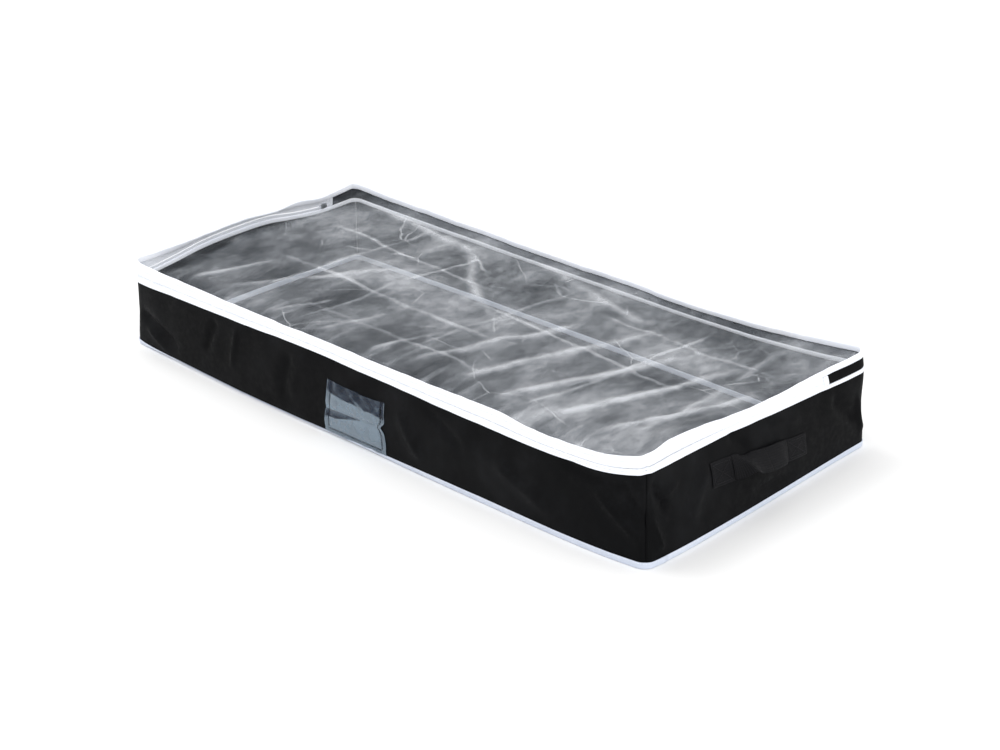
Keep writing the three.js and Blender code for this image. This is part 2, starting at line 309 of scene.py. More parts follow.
def rim_relief(side, x, z):
    """Waves of the band above the zip."""
    s = START[side] + x
    height = smooth((z - LEAN_FROM[side]) / (RIM_Z - LEAN_FROM[side]))
    wave = 1.9 * wander(s / 0.06, 3.5) + 0.9 * wander(s / 0.021, 7.5) + 0.35 * wander(s / 0.008, 11.5)
    return wave * MM * height


def profile(s, z, relief):
    """Depth and level of the outer face at a height on the cloth."""
    side, x = locate(s)
    foot, top, rim, top_up, rim_up, tuck = (hang(column, s) for column in range(6))
    lean_from = LEAN_FROM[side]
    low = np.clip(z / lean_from, 0, 1)
    high = np.maximum((z - lean_from) / (RIM_Z - lean_from), 0)
    belly = BELLY[side] * (1 - (x / (RUN[side] / 2)) ** 2) * np.sin(math.pi * low) ** 0.8
    out = foot + (top - foot) * low ** 1.3 + (rim - top) * high ** LEAN_POWER[side] + belly
    out = out + relief * (wall_relief(side, x, z) + rim_relief(side, x, z))
    out = out - tuck * (1 - smooth(z / 0.012))
    rise = top_up * low ** 1.6 + (rim_up - top_up) * high ** RAISE_POWER
    rise = rise + relief * (0.9 * wander(s / 0.05, 21.5) + 0.4 * wander(s / 0.017, 25.5)) * MM * high
    rise = rise - tuck * smooth(z / TUCK_HEIGHT) * (1 - smooth((z - TUCK_HEIGHT) / TUCK_FADE))
    return -out, z + rise


def cloth(s, z, u, relief=1.0):
    """Where a point of the flat cloth hangs; depths are taken square to the hanging cloth."""
    s, z, u, relief = np.broadcast_arrays(s, z, u, relief)
    nudge = 0.5 * MM
    depth, level = profile(s, z, relief)
    depth_above, level_above = profile(s, z + nudge, relief)
    depth_below, level_below = profile(s, z - nudge, relief)
    inwards, upwards = depth_above - depth_below, level_above - level_below
    length = np.hypot(inwards, upwards)
    sharpness = FOOT_SHARPNESS * (1 - smooth(z / 0.07))
    point = path(s, depth + u * upwards / length, sharpness)
    level = np.maximum(level - u * inwards / length, 0.2 * MM)
    return np.concatenate([point, level[..., None]], axis=-1)


# ---- Meshes ----
def add_mesh(name, points, faces, flat=None):
    """A smooth-shaded object; flat holds each point's cloth coordinates, which the weaves follow."""
    mesh = bpy.data.meshes.new(name)
    mesh.from_pydata(np.asarray(points).reshape(-1, 3).tolist(), [], [list(map(int, f)) for f in faces])
    mesh.shade_smooth()
    obj = bpy.data.objects.new(name, mesh)
    bpy.context.scene.collection.objects.link(obj)
    if flat is not None:
        weave = mesh.attributes.new("cloth", "FLOAT_VECTOR", "POINT")
        weave.data.foreach_set("vector", np.asarray(flat, np.float32).ravel())
    return obj


def outward_faces(obj):
    """Turns all faces of a closed mesh outwards."""
    bpy.context.view_layer.objects.active = obj
    bpy.ops.object.select_all(action="DESELECT")
    obj.select_set(True)
    bpy.ops.object.mode_set(mode="EDIT")
    bpy.ops.mesh.select_all(action="SELECT")
    bpy.ops.mesh.normals_make_consistent(inside=False)
    bpy.ops.object.mode_set(mode="OBJECT")
    return obj


def strip_section(line, thickness):
    """Closed outline of a strip of cloth, from its middle line in (z, u); both edges are rounded."""
    line = np.asarray(line, float)
    step = np.gradient(line, axis=0)
    step /= np.linalg.norm(step, axis=1)[:, None]
    sideways = np.stack([step[:, 1], -step[:, 0]], axis=1)
    half = np.full(len(line), thickness / 2)
    half[[0, -1]] *= 0.45
    return np.concatenate([line + sideways * half[:, None], (line - sideways * half[:, None])[::-1]])


def ring_faces(rings, size, closed=False):
    """Faces between rings of points; closed joins the last ring to the first."""
    faces = []
    for i in range(rings if closed else rings - 1):
        here, there = i * size, (i + 1) % rings * size
        for j in range(size):
            k = (j + 1) % size
            faces.append((here + j, there + j, there + k, here + k))
    return faces


def strip_caps(rings, size):
    """Faces that close both ends of a strip, whose outline runs up one side and down the other."""
    faces = []
    last = (rings - 1) * size
    for j in range(size // 2 - 1):
        faces.append((j, j + 1, size - 2 - j, size - 1 - j))
        faces.append((last + size - 1 - j, last + size - 2 - j, last + j + 1, last + j))
    return faces


def round_caps(rings, size):
    """One face over each end of a round bar."""
    last = (rings - 1) * size
    return [list(range(size))[::-1], list(range(last, last + size))]


def hung_mesh(name, s, z, u, faces, relief=1.0, weave=None):
    """A closed mesh from points of the flat cloth, hung in the room; weave may differ from those points."""
    flat = np.stack([s, z, u], axis=-1).reshape(-1, 3)
    points = cloth(flat[:, 0], flat[:, 1], flat[:, 2], relief)
    return outward_faces(add_mesh(name, points, faces, flat if weave is None else weave))


def sweep(name, run, section, closed=False, warp=None):
    """Runs a closed section in (z, u) along positions s and hangs it; warp may move the flat points."""
    count, size = len(run), len(section)
    s = np.repeat(run, size)
    z, u = np.tile(section[:, 0], count), np.tile(section[:, 1], count)
    if warp:
        s, z, u = warp(s, z, u)
    faces = ring_faces(count, size, closed)
    if not closed:
        faces += strip_caps(count, size)
    return hung_mesh(name, s, z, u, faces)


def stations(start, end, step):
    return np.linspace(start, end, max(2, round((end - start) / step) + 1))


def upright(z_range, depth, count):
    """Middle line of a flat upright strip."""
    z = np.linspace(*z_range, count)
    return np.stack([z, np.full(count, depth)], axis=1)


def folded(z_range, u_range, thickness, fold_at_top):
    """Middle line of a binding folded over an edge: outer leg, round fold, inner leg."""
    outer, inner = u_range[0] + thickness / 2, u_range[1] - thickness / 2
    radius = (inner - outer) / 2
    low, high = z_range
    fold = high - thickness / 2 - radius if fold_at_top else low + thickness / 2 + radius
    end = low + 0.3 * MM if fold_at_top else high - 0.3 * MM
    leg = np.linspace(end, fold, 7)[:-1]
    puff = np.sin(np.linspace(0, math.pi, 7))[:-1] * 0.25 * MM
    angle = np.linspace(0, math.pi, 9)
    turn = 1 if fold_at_top else -1
    arc_z = fold + turn * radius * np.sin(angle)
    arc = np.stack([arc_z, (outer + inner) / 2 - radius * np.cos(angle)], axis=1)
    first = np.stack([leg, outer - puff], axis=1)
    last = np.stack([leg, inner + puff], axis=1)[::-1]
    return np.concatenate([first, arc, last])


def stitches(name, lines, depth, length=2.7 * MM, pitch=3.5 * MM, thread=0.28 * MM):
    """Separate thread stitches along lines of (s, z) points, lying at a depth."""
    rings, spokes = 5, 6
    starts, ends = [], []
    for line in lines:
        line = np.asarray(line, float)
        legs = np.linalg.norm(np.diff(line, axis=0), axis=1)
        travelled = np.concatenate([[0], np.cumsum(legs)])
        first = np.arange(pitch / 2, travelled[-1] - length, pitch)
        for begins, store in ((first, starts), (first + length, ends)):
            store.append(np.stack([np.interp(begins, travelled, line[:, i]) for i in (0, 1)], axis=1))
    start, end = np.concatenate(starts), np.concatenate(ends)
    along = (end - start) / np.linalg.norm(end - start, axis=1)[:, None]
    t = np.linspace(0, 1, rings)[None, :, None]
    swell = np.sqrt(np.clip(1 - (2 * t - 1) ** 2, 0.12, 1))
    angle = np.linspace(0, 2 * math.pi, spokes, endpoint=False)[None, None, :]
    middle = start[:, None, None, :] + (end - start)[:, None, None, :] * t[..., None]
    across = np.stack([-along[:, 1], along[:, 0]], axis=1)[:, None, None, :]
    flat = middle + across * (thread * swell * np.cos(angle))[..., None]
    u = np.broadcast_to(depth - thread * (0.55 * swell + swell * np.sin(angle)), flat.shape[:-1])
    one_stitch = ring_faces(rings, spokes) + round_caps(rings, spokes)
    faces = []
    for base in range(0, len(start) * rings * spokes, rings * spokes):
        faces += [[base + corner for corner in face] for face in one_stitch]
    return hung_mesh(name, flat[..., 0], flat[..., 1], u, faces)


def sheet_mesh(name, points, flat, thickness, haze_and_painted_light=None):
    """A grid of points made into a closed sheet of film."""
    rows, columns = points.shape[:2]
    index = np.arange(rows * columns).reshape(rows, columns)
    corners = [index[:-1, :-1], index[:-1, 1:], index[1:, 1:], index[1:, :-1]]
    faces = np.stack([c.ravel() for c in corners], axis=1)
    obj = add_mesh(name, points, faces, flat.reshape(-1, 3))
    if haze_and_painted_light is not None:
        attribute = obj.data.attributes.new("haze_and_painted_light", "FLOAT", "POINT")
        attribute.data.foreach_set("value", haze_and_painted_light.astype(np.float32).ravel())
    solid = obj.modifiers.new("thickness", "SOLIDIFY")
    solid.thickness = thickness
    solid.offset = 0
    apply_modifiers(obj)
    return outward_faces(obj)


def apply_modifiers(obj):
    bpy.context.view_layer.objects.active = obj
    bpy.ops.object.select_all(action="DESELECT")
    obj.select_set(True)
    for modifier in list(obj.modifiers):
        bpy.ops.object.modifier_apply(modifier=modifier.name)


# ---- Materials ----
class Shader:
    """A Principled material built from nodes."""

    def __init__(self, name, roughness, specular, sheen=0.0, metallic=0.0):
        self.material = bpy.data.materials.new(name)
        self.material.use_nodes = True
        self.tree = self.material.node_tree
        self.surface = self.tree.nodes["Principled BSDF"]
        self.set("Roughness", roughness)
        self.set("Specular IOR Level", specular)
        self.set("Sheen Weight", sheen)
        self.set("Sheen Roughness", 0.5)
        self.set("Metallic", metallic)

    def set(self, name, value):
        self.surface.inputs[name].default_value = value

    def node(self, kind, inputs=(), **settings):
        made = self.tree.nodes.new(kind)
        for key, value in settings.items():
            setattr(made, key, value)
        for key, value in dict(inputs).items():
            self.feed(made.inputs[key], value)
        return made

    def feed(self, socket, value):
        if isinstance(value, bpy.types.NodeSocket):
            self.tree.links.new(value, socket)
        else:
            socket.default_value = value

    def drive(self, name, value):
        self.feed(self.surface.inputs[name], value)

    def flat_cloth(self, scale=(1, 1, 1), turn=0.0):
        source = self.node("ShaderNodeAttribute", attribute_name="cloth").outputs["Vector"]
        mapping = self.node("ShaderNodeMapping", {"Vector": source, "Scale": scale, "Rotation": (0, 0, turn)})
        return mapping.outputs["Vector"]

    def place(self, scale=(1, 1, 1)):
        source = self.node("ShaderNodeTexCoord").outputs["Object"]
        return self.node("ShaderNodeMapping", {"Vector": source, "Scale": scale}).outputs["Vector"]

    def noise(self, vector, scale, detail=2.0, roughness=0.5):
        inputs = {"Vector": vector, "Scale": scale, "Detail": detail, "Roughness": roughness}
        return self.node("ShaderNodeTexNoise", inputs).outputs["Fac"]

    def sine(self, vector, scale, direction):
        wave = self.node("ShaderNodeTexWave", {"Vector": vector, "Scale": scale}, bands_direction=direction)
        return wave.outputs["Fac"]

    def math(self, operation, a, b=0.0):
        made = self.node("ShaderNodeMath", operation=operation)
        self.feed(made.inputs[0], a)
        self.feed(made.inputs[1], b)
        return made.outputs[0]

    def remap(self, value, low, high, to_low, to_high):
        inputs = {"Value": value, "From Min": low, "From Max": high, "To Min": to_low, "To Max": to_high}
        return self.node("ShaderNodeMapRange", inputs, interpolation_type="SMOOTHSTEP").outputs["Result"]

    def mix(self, share, first, second):
        made = self.node("ShaderNodeMix", data_type="RGBA")
        self.feed(made.inputs[0], share)
        self.feed(made.inputs[6], first)
        self.feed(made.inputs[7], second)
        return made.outputs[2]

    def cracks(self, scale, width, bend):
        """Thin lines, value 1, between bent cells: the creases of crumpled film."""
        place = self.place()
        noise = self.node("ShaderNodeTexNoise", {"Vector": place, "Scale": 3.0 * scale}).outputs["Color"]
        shift = self.node("ShaderNodeVectorMath", operation="MULTIPLY_ADD")
        self.feed(shift.inputs[0], noise)
        shift.inputs[1].default_value = (bend, bend, bend)
        self.feed(shift.inputs[2], place)
        cells = self.node(
            "ShaderNodeTexVoronoi", {"Vector": shift.outputs[0], "Scale": scale}, feature="DISTANCE_TO_EDGE")
        return self.remap(cells.outputs["Distance"], 0.0, width, 1.0, 0.0)

    def bump(self, height, distance, strength=1.0, normal=None):
        inputs = {"Height": height, "Distance": distance, "Strength": strength}
        if normal is not None:
            inputs["Normal"] = normal
        return self.node("ShaderNodeBump", inputs).outputs["Normal"]


def colour(r, g, b):
    return (r, g, b, 1.0)


def nonwoven(name, deep, pale, roughness, specular, sheen, emboss=0.05 * MM, pitch=1.6 * MM):
    """Spun fabric with a lattice of pressed dots, clumped fibres and slow changes of tone."""
    shader = Shader(name, roughness, specular, sheen)
    dots = shader.node(
        "ShaderNodeTexVoronoi",
        {"Vector": shader.flat_cloth((1 / pitch, 1 / pitch, 0), math.pi / 4), "Scale": 1.0,
         "Randomness": 0.0},
    ).outputs["Distance"]
    pressed = shader.remap(dots, 0.18, 0.42, 0.0, 1.0)
    fibres = shader.noise(shader.flat_cloth((900, 2600, 900)), 1.0, 3.0, 0.65)
    clumps = shader.noise(shader.place(), 130.0, 4.0, 0.6)
    patches = shader.noise(shader.place(), 9.0, 3.0, 0.55)
    clumped = shader.remap(clumps, 0.35, 0.75, 0.0, 0.6)
    tone = shader.math("MULTIPLY", clumped, shader.remap(patches, 0.35, 0.7, 0.25, 1.0))
    tone = shader.math("ADD", tone, shader.remap(patches, 0.42, 0.72, 0.0, 0.45))
    tone = shader.math("MULTIPLY", tone, shader.remap(pressed, 0.0, 1.0, 0.6, 1.0))
    shader.drive("Base Color", shader.mix(tone, deep, pale))
    shader.drive("Roughness", shader.remap(clumps, 0.3, 0.7, roughness - 0.1, roughness + 0.08))
    soft = shader.bump(clumps, 0.35 * MM, 0.5)
    fine = shader.bump(fibres, 0.06 * MM, 0.6, soft)
    shader.drive("Normal", shader.bump(pressed, emboss, 0.8, fine))
    return shader.material


WAVE_PER_UNIT = math.pi / 10


def woven(name, deep, pale, rib, roughness, specular, sheen, depth=0.12 * MM):
    """Woven tape or webbing: ribs across its length, crossed by fine warp lines."""
    shader = Shader(name, roughness, specular, sheen)
    lengthways = shader.sine(shader.flat_cloth((1, 0.8 / rib, 1)), WAVE_PER_UNIT, "Y")
    across = shader.sine(shader.flat_cloth((1 / rib, 1, 1)), WAVE_PER_UNIT, "X")
    warp = shader.remap(lengthways, 0.1, 0.9, 0.6, 1.0)
    weave = shader.math("MULTIPLY", warp, shader.remap(across, 0.1, 0.9, 0.3, 1.0))
    lint = shader.noise(shader.place(), 240.0, 3.0, 0.6)
    tone = shader.math("MULTIPLY", weave, shader.remap(lint, 0.3, 0.75, 0.55, 1.0))
    shader.drive("Base Color", shader.mix(tone, deep, pale))
    shader.drive("Roughness", shader.remap(lint, 0.3, 0.7, roughness - 0.08, roughness + 0.08))
    shader.drive("Normal", shader.bump(weave, depth, 0.9, shader.bump(lint, 0.1 * MM, 0.4)))
    return shader.material


def moulded(name, deep, pale, roughness, specular, metallic=0.0):
    """Nylon, thread or plated metal: fine grain, slight rubbing and uneven gloss."""
    shader = Shader(name, roughness, specular, 0.0, metallic)
    grain = shader.noise(shader.place(), 900.0, 3.0, 0.6)
    rubbed = shader.noise(shader.place(), 160.0, 4.0, 0.65)
    shader.drive("Base Color", shader.mix(shader.remap(rubbed, 0.35, 0.7, 0.0, 1.0), deep, pale))
    shader.drive("Roughness", shader.remap(rubbed, 0.3, 0.7, roughness - 0.08, roughness + 0.12))
    shader.drive("Normal", shader.bump(grain, 0.03 * MM, 0.5))
    return shader.material


def film_material(name, deep, pale, clear, hazy, roughness, crumple):
    """Clear plastic film. The haze map marks creases and milky zones; it is partly real milkiness and partly
    painted reflection. Edges turn more opaque, partly from the longer path through milky film and partly as
    painted reflection.
    """
    shader = Shader(name, roughness, 0.5)
    shader.set("IOR", 1.6)
    haze_and_painted_light = shader.node("ShaderNodeAttribute", attribute_name="haze_and_painted_light").outputs["Fac"]
    streaks = shader.noise(shader.place((1.0, 0.6, 1.0)), 60.0, 4.0, 0.6)
    specks = shader.noise(shader.place(), 420.0, 2.0, 0.5)
    large = shader.cracks(6.0, 0.0085, 0.012)
    small = shader.cracks(19.0, 0.024, 0.006)
    where_large = shader.remap(shader.noise(shader.place(), 9.0), 0.45, 0.66, 0.0, crumple)
    where_small = shader.remap(shader.noise(shader.place((1.3, 1.3, 1.3)), 12.0), 0.52, 0.72, 0.0, crumple)
    creased = shader.math("MULTIPLY", large, where_large)
    creased = shader.math("ADD", creased, shader.math("MULTIPLY", small, where_small))
    milk_and_reflection = shader.math("MULTIPLY", haze_and_painted_light, shader.remap(streaks, 0.3, 0.72, 0.82, 1.16))
    milk_and_reflection = shader.math("ADD", milk_and_reflection, shader.remap(specks, 0.68, 0.8, 0.0, 0.05))
    # Crease lines turn paler: partly real crease whitening, partly painted highlight.
    milk_and_reflection = shader.math("ADD", milk_and_reflection, shader.math("MULTIPLY", creased, 0.26))
    # Seen edge-on the film grows more opaque and pale: partly the longer path through milky film, partly
    # painted reflection.
    grazing = shader.node("ShaderNodeLayerWeight", {"Blend": 0.18}).outputs["Facing"]
    edge_on = shader.remap(grazing, 0.25, 1.0, 0.0, 0.20)
    veil_and_reflection = shader.math("MULTIPLY", edge_on, shader.remap(haze_and_painted_light, 0.0, 0.35, 0.25, 1.0))
    alpha = shader.math("ADD", shader.remap(milk_and_reflection, 0.0, 1.0, clear, hazy), veil_and_reflection)
    shader.drive("Alpha", shader.math("MINIMUM", alpha, 1.0))
    shader.drive("Base Color", shader.mix(shader.remap(milk_and_reflection, 0.1, 0.7, 0.0, 1.0), deep, pale))
    ripple = shader.noise(shader.place((1.0, 0.6, 1.0)), 30.0, 3.0, 0.5)
    soft = shader.bump(ripple, 1.6 * MM, 0.5)
    shader.drive("Normal", shader.bump(creased, 0.8 * MM, 0.7, soft))
    return shader.material


def painted_glow(material, strength):
    """Painted glow: emission that stands in for light coming through thin white cloth from behind."""
    surface = material.node_tree.nodes["Principled BSDF"]
    surface.inputs["Emission Color"].default_value = (0.93, 0.95, 1.0, 1.0)
    surface.inputs["Emission Strength"].default_value = strength


BLACK_FABRIC = nonwoven(
    "black_nonwoven", colour(0.0010, 0.0011, 0.0015), colour(0.0105, 0.0110, 0.0125), 0.64, 0.075, 0.0)
WHITE_BINDING = nonwoven(
    "white_nonwoven_binding", colour(0.78, 0.81, 0.88), colour(0.92, 0.93, 0.96), 0.68, 0.3, 0.1,
    0.06 * MM, 1.3 * MM)
BASE_TRIM = nonwoven(
    "pale_blue_binding", colour(0.58, 0.63, 0.74), colour(0.76, 0.80, 0.88), 0.68, 0.3, 0.1,
    0.06 * MM, 1.3 * MM)
ZIP_TAPE = woven(
    "white_zip_tape", colour(0.74, 0.77, 0.84), colour(0.93, 0.95, 0.98), 0.55 * MM, 0.66, 0.3, 0.15)
WEBBING = woven(
    "black_webbing", colour(0.0014, 0.0014, 0.0018), colour(0.0100, 0.0100, 0.0120), 2.2 * MM, 0.66, 0.10,
    0.0, 0.35 * MM)
COIL = moulded("white_nylon_coil", colour(0.78, 0.81, 0.86), colour(0.92, 0.94, 0.97), 0.40, 0.4)
WHITE_THREAD = moulded("white_thread", colour(0.60, 0.63, 0.72), colour(0.84, 0.86, 0.92), 0.55, 0.3)
BLACK_THREAD = moulded("black_thread", colour(0.004, 0.004, 0.005), colour(0.020, 0.020, 0.024), 0.5, 0.2)
METAL = moulded("satin_zinc", colour(0.40, 0.42, 0.45), colour(0.70, 0.72, 0.75), 0.34, 0.5, 1.0)
LID_FILM = film_material(
    "clear_lid_film", colour(0.50, 0.55, 0.62), colour(0.86, 0.89, 0.94), 0.02, 0.44, 0.14, 1.0)
POCKET_FILM = film_material(
    "label_pocket_film", colour(0.035, 0.060, 0.115), colour(0.24, 0.31, 0.38), 0.10, 0.62, 0.16, 0.4)
# Painted glow on the white binding, zip tape, coil and white thread.
for glowing in (WHITE_BINDING, ZIP_TAPE, COIL, WHITE_THREAD):
    painted_glow(glowing, 0.13)


def finish_piece(obj, material, body="bag", nodes=()):
    """Material, slot, replaced nodes and body. Pieces of the body lid, the cloth that bends at the fold line,
    are left without a parent, with their transform baked into the mesh.
    """
    obj.data.materials.clear()
    obj.data.materials.append(material)
    if nodes:
        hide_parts(*nodes)
    if body == "lid":
        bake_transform(obj)
    else:
        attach(obj, body)
    return obj


# ---- Walls, base and hinge strip ----
STEP = 4 * MM


def make_walls():
    middle = sum(WALL_U) / 2
    section = strip_section(upright(WALL_Z, middle, 30), WALL_U[1] - WALL_U[0])
    for side, name in enumerate(SIDE_NAMES):
        run = stations(START[side] + 0.1 * MM, START[side] + RUN[side] - 0.1 * MM, STEP)
        wall = sweep(f"{name}_wall_panel", run, section)
        finish_piece(wall, BLACK_FABRIC, nodes=[f"{name}_wall"])


# Folds of the base: two ends and the half width, in metres; the height is in millimetres.
BASE_FOLDS = [
    ((-0.42, -0.15), (-0.10, 0.16), 0.020),
    ((-0.20, -0.19), (0.30, -0.02), 0.025),
    ((0.05, 0.18), (0.42, -0.10), 0.020),
    ((-0.46, 0.10), (-0.30, -0.12), 0.018),
]
BASE_FOLD_HEIGHT = 3.0


def edge_distance(a, b):
    """Distance to the nearest side of a place given as shares of the length and the width."""
    return np.minimum(np.minimum(a, 1 - a) * 2 * HALF_X, np.minimum(b, 1 - b) * 2 * HALF_Y)


def make_base():
    """Base cloth lying on the floor, with the soft quilted waves of unstiffened fabric."""
    low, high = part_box("base_panel")
    edge = cloth(np.linspace(0, ROUND, 1200, endpoint=False), 1.5 * MM, 5.2 * MM)[:, :2]
    columns, rows = 180, 84
    thickness = high.z - low.z
    a, b = np.meshgrid(np.linspace(0, 1, columns), np.linspace(0, 1, rows))
    xy = coons(lambda side, t: at_share(edge, side, t), a, b)
    lift = 1.1 * (0.5 + 0.5 * wander(xy[..., 0] / 0.07 + 3, xy[..., 1] / 0.05))
    lift += 0.9 * (0.5 + 0.5 * wander(xy[..., 0] / 0.02, xy[..., 1] / 0.035 + 5))
    for start, end, width in BASE_FOLDS:
        lift += BASE_FOLD_HEIGHT * ridge(xy[..., 0], xy[..., 1], start, end, width)
    inside = smooth(edge_distance(a, b) / 0.03)
    z = low.z + thickness / 2 + 0.1 * MM + lift * MM * inside
    points = np.concatenate([xy, z[..., None]], axis=-1)
    flat = np.stack([xy[..., 0], xy[..., 1], z], axis=-1)
    base = sheet_mesh("base_cloth", points, flat, thickness * 0.9)
    finish_piece(base, BLACK_FABRIC, nodes=["base_panel"])


def at_share(line, side, t):
    """Point at a share t of a side, on a line of evenly spaced points round the bag."""
    s = (START[side] + np.asarray(t) * RUN[side]) / ROUND * len(line)
    i = np.floor(s).astype(int)
    f = (s - i)[..., None]
    return line[i % len(line)] * (1 - f) + line[(i + 1) % len(line)] * f


def coons(curve, a, b):
    """Fills four sides with a surface; a runs to the right and b to the back, both from 0 to 1."""
    front, right = curve(FRONT, a), curve(RIGHT, b)
    back, left = curve(BACK, 1 - a), curve(LEFT, 1 - b)
    near_left, near_right, far_right, far_left = (curve(side, np.array(0.0)) for side in range(4))
    a, b = a[..., None], b[..., None]
    ruled = front * (1 - b) + back * b + left * (1 - a) + right * a
    near = near_left * (1 - a) * (1 - b) + near_right * a * (1 - b)
    return ruled - (near + far_right * a * b + far_left * (1 - a) * b)


TAB = 8 * MM
RIGHT_TAB = (at(RIGHT, ZIP_END_RIGHT_Y), at(RIGHT, ZIP_END_RIGHT_Y) + TAB)
LEFT_TAB = (at(LEFT, -ZIP_END_LEFT_Y) - TAB, at(LEFT, -ZIP_END_LEFT_Y))
ZIP_FROM = LEFT_TAB[1] - ROUND
ZIP_TO = RIGHT_TAB[0]


def make_hinge_strip():
    top = RIM_Z - 1.2 * MM
    line = upright((LOWER_TAPE_Z[0], top), sum(TAPE_U) / 2, 12)
    section = strip_section(line, TAPE_U[1] - TAPE_U[0])
    strip = sweep("hinge_strip", stations(RIGHT_TAB[1] + 0.2 * MM, LEFT_TAB[0] - 0.2 * MM, STEP), section)
    nodes = ["hinge_strip_right", "hinge_strip_back", "hinge_strip_left"]
    finish_piece(strip, BLACK_FABRIC, nodes=nodes)


# ---- Bindings ----
def make_bindings():
    thickness = 0.9 * MM
    loop = np.linspace(0, ROUND, math.ceil(ROUND / STEP), endpoint=False)
    wall_line = folded(WALL_BINDING_Z, WALL_BINDING_U, thickness, True)
    wall = sweep("wall_binding", loop, strip_section(wall_line, thickness), closed=True)
    finish_piece(wall, WHITE_BINDING, nodes=[f"wall_binding_{n}" for n in SIDE_NAMES])

    lid_line = folded(LID_BINDING_Z, LID_BINDING_U, thickness, True)
    lid = sweep("lid_binding", loop, strip_section(lid_line, thickness), closed=True)
    lid_nodes = [f"lid_binding_{n}" for n in SIDE_NAMES + ("right_rear", "left_rear")]
    finish_piece(lid, WHITE_BINDING, "lid", lid_nodes)

    base_line = folded(BASE_BINDING_Z, WALL_BINDING_U, thickness, False)
    lap = at(RIGHT, -STRAIGHT[RIGHT] + 6 * MM)
    overlap = 14 * MM
    between_legs = 2 * MM

    def lapped(s, z, u):
        """Opens the end of the strip so that it passes outside its own start."""
        over = smooth((s - (lap + ROUND)) / (4 * MM))
        apart = np.where(u < between_legs, -1.0 * MM, 1.0 * MM)
        return s, z + 0.2 * MM * over, u + apart * over

    run = stations(lap, lap + ROUND + overlap, STEP)
    base = sweep("base_binding", run, strip_section(base_line, thickness), warp=lapped)
    finish_piece(base, BASE_TRIM, nodes=[f"base_binding_{n}" for n in SIDE_NAMES])


def make_binding_stitches():
    s = np.linspace(0, ROUND, 2400)
    rows = {
        "wall_binding_stitches": (WALL_BINDING_Z[0] + 1.6 * MM, WHITE_THREAD, "bag"),
        "lid_binding_stitches": (LID_BINDING_Z[0] + 1.8 * MM, WHITE_THREAD, "lid"),
        "base_binding_stitches": (BASE_BINDING_Z[1] - 1.8 * MM, WHITE_THREAD, "bag"),
    }
    for name, (z, thread, body) in rows.items():
        line = np.stack([s, np.full_like(s, z)], axis=1)
        finish_piece(stitches(name, [line], -0.05 * MM), thread, body)


# ---- Zip ----
def on_left_end(s):
    """1 along the left end, where positions lie before the path's start, and 0 past the front corner."""
    return smooth((4 * MM - s) / (8 * MM))


def helix(name, start, end, z_range, phase, meshing):
    """Nylon coil: a flattened spiral of monofilament. The meshing edge, top or bottom, reaches past the
    zip's middle, except along the left end, where the slider's post has to pass."""
    pitch, wire, steps, spokes = 2.0 * MM, 0.4 * MM, 8, 4
    turns = math.floor((end - start) / pitch)
    angle = np.linspace(0, turns * math.tau, turns * steps + 1)
    s = start + pitch * (angle / math.tau + phase)
    reach = 1.35 * MM - 0.75 * MM * on_left_end(s)
    bottom = z_range[0] - reach * meshing[0]
    top = z_range[1] + reach * meshing[1]
    deep = (COIL_U[1] - COIL_U[0]) / 2 - wire
    z_out, u_out = np.cos(angle), np.sin(angle)
    around = np.linspace(0, math.tau, spokes, endpoint=False)[None, :] + math.pi / 4
    tall = (top - bottom) / 2 - wire
    z = ((top + bottom) / 2 + z_out * tall)[:, None] + wire * z_out[:, None] * np.cos(around)
    u = sum(COIL_U) / 2 + (u_out * deep)[:, None] + wire * u_out[:, None] * np.cos(around)
    along = s[:, None] + wire * np.sin(around)
    return hung_mesh(name, along, z, u, ring_faces(len(angle), spokes) + round_caps(len(angle), spokes))


def make_zip():
    thickness = TAPE_U[1] - TAPE_U[0]
    middle = sum(TAPE_U) / 2
    run = stations(ZIP_FROM + 0.2 * MM, ZIP_TO - 0.2 * MM, STEP)
    sides = ("front", "right", "left")
    uppers = sides + ("right_rear", "left_rear")
    inner_edge = 0.55 * MM

    def narrowed(s, z, u):
        """Draws both tape edges a little nearer the zip's middle along the left end."""
        near = np.abs(z - COIL_MIDDLE_Z) < 1.2 * MM
        away = np.sign(z - COIL_MIDDLE_Z) * -0.1 * MM * on_left_end(s)
        return s, np.where(near, z + away, z), u

    lower_line = upright((LOWER_TAPE_Z[0], COIL_MIDDLE_Z - inner_edge), middle, 7)
    lower = sweep("zip_tape_lower", run, strip_section(lower_line, thickness), warp=narrowed)
    finish_piece(lower, ZIP_TAPE, nodes=[f"zip_tape_lower_{n}" for n in sides])

    upper_line = upright((COIL_MIDDLE_Z + inner_edge, RIM_Z - 1.3 * MM), middle, 14)
    upper = sweep("zip_tape_upper", run, strip_section(upper_line, thickness), warp=narrowed)
    finish_piece(upper, ZIP_TAPE, "lid", [f"zip_tape_upper_{n}" for n in uppers])

    lower_coil = helix("zip_coil_lower", run[0], run[-1], LOWER_COIL_Z, 0.0, (0, 1))
    finish_piece(lower_coil, COIL, nodes=[f"zip_coil_lower_{n}" for n in sides])
    upper_coil = helix("zip_coil_upper", run[0], run[-1], UPPER_COIL_Z, 0.5, (1, 0))
    finish_piece(upper_coil, COIL, "lid", [f"zip_coil_upper_{n}" for n in uppers])

    for name, (start, end) in (("right", RIGHT_TAB), ("left", LEFT_TAB)):
        line = upright((LOWER_TAPE_Z[0], LID_BINDING_Z[0] - 0.6 * MM), sum(COIL_U) / 2, 9)
        section = strip_section(line, COIL_U[1] - COIL_U[0])
        tab = sweep(f"zip_tab_{name}", stations(start + 0.2 * MM, end - 0.2 * MM, 1 * MM), section)
        finish_piece(tab, ZIP_TAPE, nodes=[f"zip_end_tab_{name}"])


